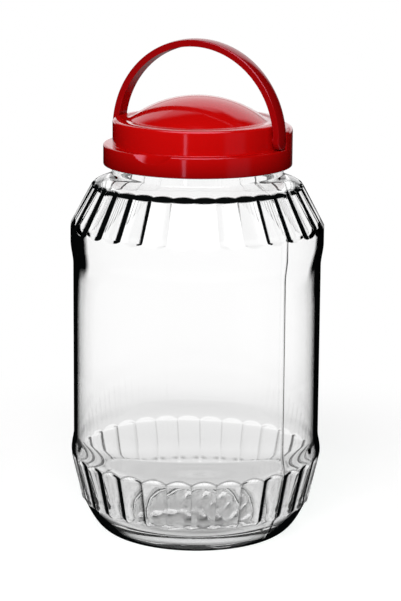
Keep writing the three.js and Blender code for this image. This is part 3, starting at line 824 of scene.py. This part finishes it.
def painted_dark_lines():
    """Where painted shade darkens the glass: on the flutes' upper ends, on the wall below them, along the
    seam and the heel's ridges, on the arches over the near flutes and at the feet of the far ones. The crisp
    mark says where dark edges have a hard border."""
    angle = np.arctan2(glass_points[:, 1], glass_points[:, 0])
    to_ridge = (2 * (((angle - SEAM_ANGLE) / flute_pitch) % 1) - 1) ** 2
    low_end = SHOULDER_TOP + PRISM_LOW + PRISM_LOW_RISE * to_ridge
    high_end = SHOULDER_TOP + PRISM_HIGH - PRISM_HIGH_FALL * to_ridge
    above_low = smoothstep((glass_height - low_end) / PRISM_EASE)
    below_high = smoothstep((high_end - glass_height) / PRISM_EASE)
    from_seam = glass_reach * ((angle - SEAM_ANGLE + math.pi) % FULL_TURN - math.pi)
    on_seam = np.exp(-((from_seam / SEAM_LINE_WIDTH) ** 2)) * np.interp(glass_height, *zip(*SEAM_SHADES))
    on_ridge = HEEL_RIDGE_SHADE * smoothstep((to_ridge - HEEL_RIDGE_START) / (1 - HEEL_RIDGE_START))
    on_ridge = on_ridge * smoothstep((HEEL_TOP - glass_height) / HEEL_RIDGE_HIGH_EASE)
    on_ridge = on_ridge * smoothstep((glass_height - HEEL_RIDGE_LOW) / HEEL_RIDGE_LOW_EASE)
    from_arch = glass_height - (HEEL_TOP + FLUTE_ARCH * (1 - to_ridge))
    from_foot = glass_height - HEEL_BOTTOM - FAR_FOOT_RISE - FAR_FOOT_CURL * to_ridge
    return {
        "flute_end": above_low * below_high,
        "wall": smoothstep((high_end - WALL_END - glass_height) / WALL_EASE),
        "line": np.maximum(on_seam, on_ridge),
        "crisp": smoothstep((glass_height - CRISP_START) / CRISP_EASE),
        "near_arch": NEAR_ARCH_SHADE * np.exp(-((from_arch / NEAR_ARCH_WIDTH) ** 2)),
        "far_foot": FAR_FOOT_SHADE * np.exp(-((from_foot / FAR_FOOT_WIDTH) ** 2)),
    }


painted_glass_lines = painted_dark_lines()
for attribute_name, values in painted_glass_lines.items():
    glass.data.attributes.new(attribute_name, "FLOAT", "POINT").data.foreach_set("value", values)
print("painted_dark_lines", sorted(painted_glass_lines))

# %% [markdown]
# The material compares the true slope with the plain one, which gives the relief of flutes and ripples.
# The relief is gained, more sideways than upward, and Layer Weight turns the slope into a painted dark
# edge. Both walls of the jar show their outer surface, so on the far wall the plain slope is turned round.

# %% Painted dark edges of the outer glass
RELIEF_GAIN = (2.4, 2.4, 0.6)
HALF_BLEND = 0.5
# How far the wall turns from the eye, and how dark it is there: below, and on the crisp shoulder.
EDGE_STOPS = [(0.38, 0.0), (0.51, 0.1), (0.61, 0.4), (0.69, 1.0)]
CRISP_STOPS = [(0.0, 0.0), (0.545, 0.02), (0.575, 0.5), (0.605, 1.0)]


def edge_darkness(tree, stored, geometry):
    """How much painted shade darkens the wall, from 0 to 1, where it turns edge-on to the eye."""
    side = add_node(tree, "ShaderNodeMapRange", {
        "Value": geometry["Backfacing"], "To Min": 1.0, "To Max": -1.0})
    wall_slope = add_node(tree, "ShaderNodeVectorMath", {
        0: stored["plain_normal"]["Vector"], "Scale": side.outputs["Result"]}, operation="SCALE")
    relief = add_node(tree, "ShaderNodeVectorMath", {
        0: geometry["Normal"], 1: wall_slope.outputs[0]}, operation="SUBTRACT")
    gained = add_node(tree, "ShaderNodeVectorMath", {
        0: relief.outputs[0], 1: RELIEF_GAIN, 2: geometry["Normal"]}, operation="MULTIPLY_ADD")
    leaned = add_node(tree, "ShaderNodeVectorMath", {
        0: gained.outputs[0], 1: stored["lean"]["Vector"]}, operation="ADD")
    bent = add_node(tree, "ShaderNodeVectorMath", {0: leaned.outputs[0]}, operation="NORMALIZE")
    turned = add_node(tree, "ShaderNodeLayerWeight", {"Blend": HALF_BLEND, "Normal": bent.outputs[0]})
    edges = []
    for stops in (EDGE_STOPS, CRISP_STOPS):
        edge = add_node(tree, "ShaderNodeValToRGB", {"Fac": turned.outputs["Facing"]})
        set_stops(edge, stops)
        edges.append(edge.outputs["Color"])
    edge_level = add_node(tree, "ShaderNodeMix", {
        "Factor": stored["crisp"]["Fac"], "A": edges[0], "B": edges[1]})
    edge_on_wall = add_node(tree, "ShaderNodeMath", {
        0: edge_level.outputs["Result"], 1: stored["wall"]["Fac"]}, operation="MULTIPLY")
    return edge_on_wall.outputs[0]


print("edge stops", len(EDGE_STOPS), "and", len(CRISP_STOPS))

# %% Painted dark lines of the outer glass
# Turn from the eye at which the prisms of the flutes' upper ends start to show, and show in full.
PRISMS_HIDDEN, PRISMS_SHOWN = 0.58, 0.48


def prism_darkness(tree, stored):
    """How much painted shade darkens the flutes' upper ends, which show only where the wall faces the eye.
    """
    true_turn = add_node(tree, "ShaderNodeLayerWeight", {"Blend": HALF_BLEND})
    head_on = add_node(tree, "ShaderNodeMapRange", {
        "Value": true_turn.outputs["Facing"], "From Min": PRISMS_HIDDEN, "From Max": PRISMS_SHOWN})
    prism = add_node(tree, "ShaderNodeMath", {
        0: head_on.outputs["Result"], 1: stored["flute_end"]["Fac"]}, operation="MULTIPLY")
    return prism.outputs[0]


def glass_darkness(tree):
    """The painted shade of the outer glass, from 0 to 1: the darkest of its edges and its lines."""
    stored = {
        name: add_node(tree, "ShaderNodeAttribute", attribute_name=name).outputs
        for name in ("plain_normal", "lean", *painted_glass_lines)
    }
    geometry = add_node(tree, "ShaderNodeNewGeometry").outputs
    curl = add_node(tree, "ShaderNodeMix", {
        "Factor": geometry["Backfacing"],
        "A": stored["near_arch"]["Fac"],
        "B": stored["far_foot"]["Fac"],
    }).outputs["Result"]
    darkness = stored["line"]["Fac"]
    for other in (curl, prism_darkness(tree, stored), edge_darkness(tree, stored, geometry)):
        darkest = add_node(tree, "ShaderNodeMath", {0: darkness, 1: other}, operation="MAXIMUM")
        darkness = darkest.outputs[0]
    return darkness


print("marks read", len(painted_glass_lines))

# %% Glass of the two surfaces
# The third colour is painted shade, mixed into the outer glass along its edges and dark lines.
GLASS_TINT, GLASS_SHADE, GLASS_PAINTED_SHADE = "#FEFEFE", "#F6F8F7", "#0A0C0C"


def glass_material(name, is_outer):
    """Clear glass, which lets light through to the floor. The outer surface carries painted shade along its
    edges and lines.
    """
    material, output = new_material(name)
    tree = material.node_tree
    surface = add_node(tree, "ShaderNodeBsdfPrincipled", {
        "Base Color": linear(GLASS_TINT),
        "Roughness": 0.0,
        "IOR": 1.52,
        "Transmission Weight": 1.0,
    })
    if is_outer:
        # Painted shade: a near-black diffuse that the outer glass shows where it turns edge-on and on its
        # dark lines.
        painted_dark = add_node(tree, "ShaderNodeBsdfDiffuse", {"Color": linear(GLASS_PAINTED_SHADE)})
        surface = add_node(tree, "ShaderNodeMixShader", {
            0: glass_darkness(tree), 1: surface.outputs[0], 2: painted_dark.outputs[0]})
    clear = add_node(tree, "ShaderNodeBsdfTransparent", {"Color": linear(GLASS_SHADE)})
    path = add_node(tree, "ShaderNodeLightPath").outputs
    mixed = add_node(tree, "ShaderNodeMixShader", {
        0: path["Is Shadow Ray"], 1: surface.outputs[0], 2: clear.outputs[0]})
    tree.links.new(mixed.outputs[0], output.inputs["Surface"])
    return material


glass.data.materials.append(glass_material("soda_lime_glass_outside", True))
glass.data.materials.append(glass_material("soda_lime_glass_inside", False))
print("glass materials", [material.name for material in glass.data.materials])

# %% [markdown]
# ### Gloss polypropylene
# The lid and the handle are injection-moulded polypropylene, coloured right through, IOR 1.49. The mould
# was polished, so the surface is glossy, with faint long waves where the plastic shrank. Its highlights
# are a little pink, which the specular tint gives. The light itself stays white.

# %% Red polypropylene
LID_RED, HANDLE_RED, GLOSS_TINT = "#CA0A09", "#9A0608", "#FFD0F0"
# Share of the lid's height from skirt to drum, and how much of the full red the painted shade leaves there.
LID_PAINTED_SHADE = [(0.0, 0.42), (0.15, 0.6), (0.36, 0.8), (0.5, 0.9), (1.0, 1.0)]
SHRINK_WAVE, SHRINK_DEPTH, SHRINK_SHARE = 12 * MM, 0.15 * MM, 0.4


def polypropylene(name, red, roughness):
    """Gloss moulded plastic, with shrink waves some 12 mm long. Its red carries a painted shade, full at the
    drum and darkest at the skirt's lower edge."""
    material, output = new_material(name)
    tree = material.node_tree
    place = add_node(tree, "ShaderNodeTexCoord").outputs["Object"]
    waves = add_node(tree, "ShaderNodeTexNoise", {"Vector": place, "Scale": 1 / SHRINK_WAVE, "Detail": 1.0})
    bump = add_node(tree, "ShaderNodeBump", {
        "Height": waves.outputs["Fac"], "Strength": SHRINK_SHARE, "Distance": SHRINK_DEPTH})
    height = add_node(tree, "ShaderNodeSeparateXYZ", {0: place}).outputs["Z"]
    height_share = add_node(tree, "ShaderNodeMapRange", {
        "Value": height, "From Min": SKIRT_BOTTOM * MM, "From Max": DRUM_TOP * MM})
    # Painted shade: the red darkens towards the skirt's lower edge.
    painted_lid_shade = add_node(tree, "ShaderNodeValToRGB", {"Fac": height_share.outputs["Result"]})
    set_stops(painted_lid_shade, LID_PAINTED_SHADE)
    colour = add_node(tree, "ShaderNodeMix", {
        "Factor": 1.0, "A": linear(red), "B": painted_lid_shade.outputs["Color"]},
        data_type="RGBA", blend_type="MULTIPLY")
    surface = add_node(tree, "ShaderNodeBsdfPrincipled", {
        "Base Color": colour.outputs["Result"],
        "Roughness": roughness,
        "IOR": 1.49,
        "Specular IOR Level": 0.5,
        "Specular Tint": linear(GLOSS_TINT),
        "Normal": bump.outputs["Normal"],
    })
    tree.links.new(surface.outputs[0], output.inputs["Surface"])
    return material


lid.data.materials.append(polypropylene("gloss_red_polypropylene_lid", LID_RED, 0.09))
handle.data.materials.append(polypropylene("gloss_red_polypropylene_handle", HANDLE_RED, 0.14))
print("plastics", lid.data.materials[0].name, handle.data.materials[0].name)

# %% [markdown]
# ### Foamed polyethylene
# The liner is a disc cut from white foamed polyethylene sheet. Its skin is matt, with closed cells of
# about 0.3 mm, drawn here at 1 mm, because finer ones wouldn't show. A bump is enough for them, as the
# disc is hidden unless the lid is turned over.

# %% Foam of the liner
FOAM_WHITE = "#EFEEE8"
CELL_SIZE, CELL_DEPTH, CELL_SHARE = 1 * MM, 0.1 * MM, 0.3

foam, foam_output = new_material("foamed_polyethylene")
tree = foam.node_tree
foam_place = add_node(tree, "ShaderNodeTexCoord").outputs["Object"]
cells = add_node(tree, "ShaderNodeTexVoronoi", {"Vector": foam_place, "Scale": 1 / CELL_SIZE})
cell_bump = add_node(tree, "ShaderNodeBump", {
    "Height": cells.outputs["Distance"], "Strength": CELL_SHARE, "Distance": CELL_DEPTH})
foam_surface = add_node(tree, "ShaderNodeBsdfPrincipled", {
    "Base Color": linear(FOAM_WHITE),
    "Roughness": 0.75,
    "IOR": 1.5,
    "Normal": cell_bump.outputs["Normal"],
})
tree.links.new(foam_surface.outputs[0], foam_output.inputs["Surface"])
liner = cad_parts["lid_liner"]
liner.data.materials.clear()
liner.data.materials.append(foam)
print("liner", liner.data.materials[0].name)

# %% [markdown]
# ## The set
# The jar stands on a pale floor in a white surround. Clear glass has no colour of its own: it shows the
# surround. A photographer would blow the background out with lamps. Here the floor and the world are
# simply white to the camera, so no light is added to the jar. The floor fades into that white. Through
# the glass the floor shows a glow at levels of its own, a painted shadow that is darkest under the jar.

# %% Floor, as the camera sees it
FLOOR_REACH, FLOOR_COLUMNS = 450, 96
FLOOR_PAINT = (0.9, 0.9, 0.9, 1)
WHITE = (1, 1, 1, 1)
# Metres from the jar's axis between which the painted floor gives way to plain white.
FLOOR_FADE_START, FLOOR_FADE_END = 0.15, 0.42
NEAR_FLOOR_LIGHT, OPEN_FLOOR_LIGHT = 0.36, 0.3

floor_angles = np.linspace(0, FULL_TURN, FLOOR_COLUMNS, endpoint=False)
floor = moulded("floor", [net(turn(np.array([(FLOOR_REACH, 0), (0, 0)]), floor_angles))])
floor_material, floor_output = new_material("pale_floor")
tree = floor_material.node_tree
path = add_node(tree, "ShaderNodeLightPath").outputs
floor_place = add_node(tree, "ShaderNodeTexCoord").outputs["Object"]
spread = add_node(tree, "ShaderNodeVectorMath", {0: floor_place}, operation="LENGTH").outputs["Value"]
fade = add_node(tree, "ShaderNodeMapRange", {
    "Value": spread, "From Min": FLOOR_FADE_START, "From Max": FLOOR_FADE_END},
    interpolation_type="SMOOTHSTEP")
paint = add_node(tree, "ShaderNodeBsdfDiffuse", {"Color": FLOOR_PAINT})
near_light = add_node(tree, "ShaderNodeMix", {
    "Factor": path["Is Camera Ray"], "A": 0.0, "B": NEAR_FLOOR_LIGHT})
near_glow = add_node(tree, "ShaderNodeEmission", {"Color": WHITE, "Strength": near_light.outputs["Result"]})
near_floor = add_node(tree, "ShaderNodeAddShader", {0: paint.outputs[0], 1: near_glow.outputs[0]})
open_light = add_node(tree, "ShaderNodeMix", {
    "Factor": path["Is Camera Ray"], "A": OPEN_FLOOR_LIGHT, "B": 1.0})
open_glow = add_node(tree, "ShaderNodeEmission", {"Color": WHITE, "Strength": open_light.outputs["Result"]})
whole_floor = add_node(tree, "ShaderNodeMixShader", {
    0: fade.outputs["Result"], 1: near_floor.outputs[0], 2: open_glow.outputs[0]})
print("floor", floor.name, FLOOR_REACH, "mm")

# %% Floor, as it is seen through the glass, with a painted shadow
# Share of the floor's reach, and the level of the painted shadow there.
FLOOR_PAINTED_SHADOW = [
    (0.0, 0.22), (0.07, 0.22), (0.085, 0.36), (0.105, 0.52), (0.125, 0.74), (0.16, 0.66), (0.25, 0.62),
    (0.36, 0.83), (0.42, 0.79), (0.52, 0.82), (0.66, 0.86), (0.74, 0.92), (0.82, 1.0), (1.0, 1.05),
]

spread_share = add_node(tree, "ShaderNodeMath", {0: spread, 1: FLOOR_REACH * MM}, operation="DIVIDE")
painted_shadow_level = add_node(tree, "ShaderNodeValToRGB", {"Fac": spread_share.outputs[0]})
set_stops(painted_shadow_level, FLOOR_PAINTED_SHADOW)
# Painted shadow: rays through the glass see the floor glow at these levels.
painted_shadow_glow = add_node(tree, "ShaderNodeEmission", {"Color": painted_shadow_level.outputs["Color"], "Strength": 1.0})
floor_look = add_node(tree, "ShaderNodeMixShader", {
    0: path["Is Transmission Ray"], 1: whole_floor.outputs[0], 2: painted_shadow_glow.outputs[0]})
tree.links.new(floor_look.outputs[0], floor_output.inputs["Surface"])
floor.data.materials.append(floor_material)
print("floor material", floor.data.materials[0].name)

# %% [markdown]
# ### The surround
# Gloss plastic is a mirror for its surround, so its highlights are drawn there. Behind the jar stands a
# pale backdrop, with a darker band at one height and a disc that the dome mirrors. Soft round cards
# stand high above the camera, low on the right and low behind. They could be meshes, but those would
# show in the glass too. Only glossy rays see these.

# %% Directions in the surround
world = bpy.data.worlds.new("surround")
scene.world = world
world.use_nodes = True
tree = world.node_tree
tree.nodes.clear()
path = add_node(tree, "ShaderNodeLightPath").outputs
direction = add_node(tree, "ShaderNodeTexCoord").outputs["Generated"]
rise = add_node(tree, "ShaderNodeSeparateXYZ", {0: direction}).outputs["Z"]
flat = add_node(tree, "ShaderNodeVectorMath", {0: direction, 1: (1, 1, 0)}, operation="MULTIPLY").outputs[0]
heading = add_node(tree, "ShaderNodeVectorMath", {0: flat}, operation="NORMALIZE").outputs[0]
behind = add_node(tree, "ShaderNodeVectorMath", {
    0: heading, 1: tuple(away)}, operation="DOT_PRODUCT").outputs["Value"]
print("world", world.name)

# %% Backdrop for gloss
BAND_RISE = 0.205
BAND_LEVEL, OFF_BAND_LEVEL = 0.7, 1.3

from_band = add_node(tree, "ShaderNodeMath", {0: rise, 1: BAND_RISE}, operation="SUBTRACT").outputs[0]
off_band = add_node(tree, "ShaderNodeMath", {0: from_band}, operation="ABSOLUTE").outputs[0]
# Each zone eases from 0 to 1 as what it reads goes from the first number to the second.
zones = {}
for zone_name, reads, outer_end, inner_end in (
    ("above_floor", rise, -0.12, 0.02),
    ("below_lamps", rise, 0.77, 0.70),
    ("behind_jar", behind, 0.8, 0.88),
    ("off_band", off_band, 0.02, 0.05),
    ("below_sky", rise, 0.75, 0.45),
    ("below_level", rise, 0.05, -0.25),
):
    zones[zone_name] = add_node(tree, "ShaderNodeMapRange", {
        "Value": reads, "From Min": outer_end, "From Max": inner_end},
        interpolation_type="SMOOTHSTEP").outputs["Result"]
band = add_node(tree, "ShaderNodeMix", {
    "Factor": zones["off_band"], "A": BAND_LEVEL, "B": OFF_BAND_LEVEL}).outputs["Result"]
backdrop = zones["above_floor"]
for level in (zones["below_lamps"], zones["behind_jar"], band):
    backdrop = add_node(tree, "ShaderNodeMath", {0: backdrop, 1: level}, operation="MULTIPLY").outputs[0]
print("zones", sorted(zones))

# %% Soft cards for gloss
# How a card joins the backdrop, its azimuth to the right of the camera, its elevation, the angles within
# which it is full and past which there is none of it, all in degrees, and its brightness.
CARDS = [
    ("MAXIMUM", 187, 38.5, 16, 24, 0.8),
    ("ADD", -5, 56, 26, 44, 4.5),
    ("ADD", 51, -9, 9, 19, 0.17),
    ("ADD", 165, -30, 12, 24, 0.26),
]


def towards(azimuth, elevation):
    """A direction from the jar. Azimuth is in degrees to the right of the camera, as seen by the camera."""
    turned, lift = math.radians(azimuth), math.radians(elevation)
    level = across * math.sin(turned) - away * math.cos(turned)
    return tuple(level * math.cos(lift) + up * math.sin(lift))


for joins_by, azimuth, elevation, inner, outer, brightness in CARDS:
    near = add_node(tree, "ShaderNodeVectorMath", {
        0: direction, 1: towards(azimuth, elevation)}, operation="DOT_PRODUCT").outputs["Value"]
    shown = add_node(tree, "ShaderNodeMapRange", {
        "Value": near,
        "From Min": math.cos(math.radians(outer)),
        "From Max": math.cos(math.radians(inner)),
    }, interpolation_type="SMOOTHSTEP").outputs["Result"]
    card = add_node(tree, "ShaderNodeMath", {0: shown, 1: brightness}, operation="MULTIPLY").outputs[0]
    backdrop = add_node(tree, "ShaderNodeMath", {0: backdrop, 1: card}, operation=joins_by).outputs[0]
print("cards", len(CARDS))

# %% [markdown]
# The world has four levels. The camera sees it white. Gloss sees the backdrop and the cards. Glass sees
# it white around the jar and dark overhead, which draws its neck and rims. All else is lit by a faint
# even light, a little stronger from below, where a pale floor throws light back.

# %% Levels of the surround
SEEN_THROUGH_LEVEL = 1.05
EVEN_LIGHT, LIGHT_FROM_BELOW = 0.09, 0.3

through = add_node(tree, "ShaderNodeMath", {
    0: zones["below_sky"], 1: SEEN_THROUGH_LEVEL}, operation="MULTIPLY").outputs[0]
strength = add_node(tree, "ShaderNodeMath", {
    0: zones["below_level"], 1: LIGHT_FROM_BELOW, 2: EVEN_LIGHT}, operation="MULTIPLY_ADD").outputs[0]
for ray, level in (("Is Glossy Ray", backdrop), ("Is Transmission Ray", through), ("Is Camera Ray", 1.0)):
    strength = add_node(tree, "ShaderNodeMix", {
        "Factor": path[ray], "A": strength, "B": level}).outputs["Result"]
sky = add_node(tree, "ShaderNodeBackground", {"Color": WHITE, "Strength": strength})
add_node(tree, "ShaderNodeOutputWorld", {"Surface": sky.outputs[0]})
scene.view_settings.view_transform = "Standard"
print("view", scene.view_settings.view_transform)

# %% [markdown]
# ### The lamps
# A large soft lamp stands by the camera and a weaker one behind the jar. They light the plastic and stay
# out of its gloss. A small strip lamp close in front of the lid draws the upright highlight on its drum
# and skirt, and a lamp so near leaves no glint lower down on the glass.

# %% Lamps
LAMP_TARGET = Vector((0, 0, 0.2))


def soft_lamp(name, azimuth, elevation, distance, size, radiance, is_mirrored):
    """A soft lamp that faces the jar. Azimuth is in degrees round the jar from its front, -Y, as for the
    camera. Distance and size are in metres. Only a mirrored lamp shows in the gloss of the plastic."""
    lamp = bpy.data.objects.new(name, bpy.data.lights.new(name, "AREA"))
    scene.collection.objects.link(lamp)
    lamp.data.shape = "RECTANGLE"
    lamp.data.size, lamp.data.size_y = size
    lamp.data.energy = radiance * math.pi * size[0] * size[1]
    turned, lift = math.radians(azimuth), math.radians(elevation)
    outward = Vector((math.sin(turned) * math.cos(lift), -math.cos(turned) * math.cos(lift), math.sin(lift)))
    lamp.location = LAMP_TARGET + outward * distance
    lamp.rotation_mode = "QUATERNION"
    lamp.rotation_quaternion = outward.to_track_quat("Z", "Y")
    lamp.visible_camera = False
    lamp.visible_transmission = False
    lamp.visible_glossy = is_mirrored
    return lamp


lamps = [
    soft_lamp("key_lamp", 22, 34, distance=1.8, size=(0.9, 0.9), radiance=12, is_mirrored=False),
    soft_lamp("strip_lamp", 13.2, -2.3, distance=0.5, size=(0.033, 0.055), radiance=2.4, is_mirrored=True),
    soft_lamp("back_fill_lamp", 208, 35, distance=1.8, size=(0.9, 0.9), radiance=4, is_mirrored=False),
]
print("lamps", [lamp.name for lamp in lamps])

# %% [markdown]
# ## Riding the frame
# Each piece rides the body of the solid that it stands for, so it follows the screw and the hinge.

# %% Bodies
for piece, node, body, slot_name in (
    (glass, "glass_jar", "jar", "glass"),
    (lid, "screw_lid", "lid", "lid_red"),
    (handle, "carry_handle", "handle", "handle_red"),
):
    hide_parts(node)
    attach(piece, body)
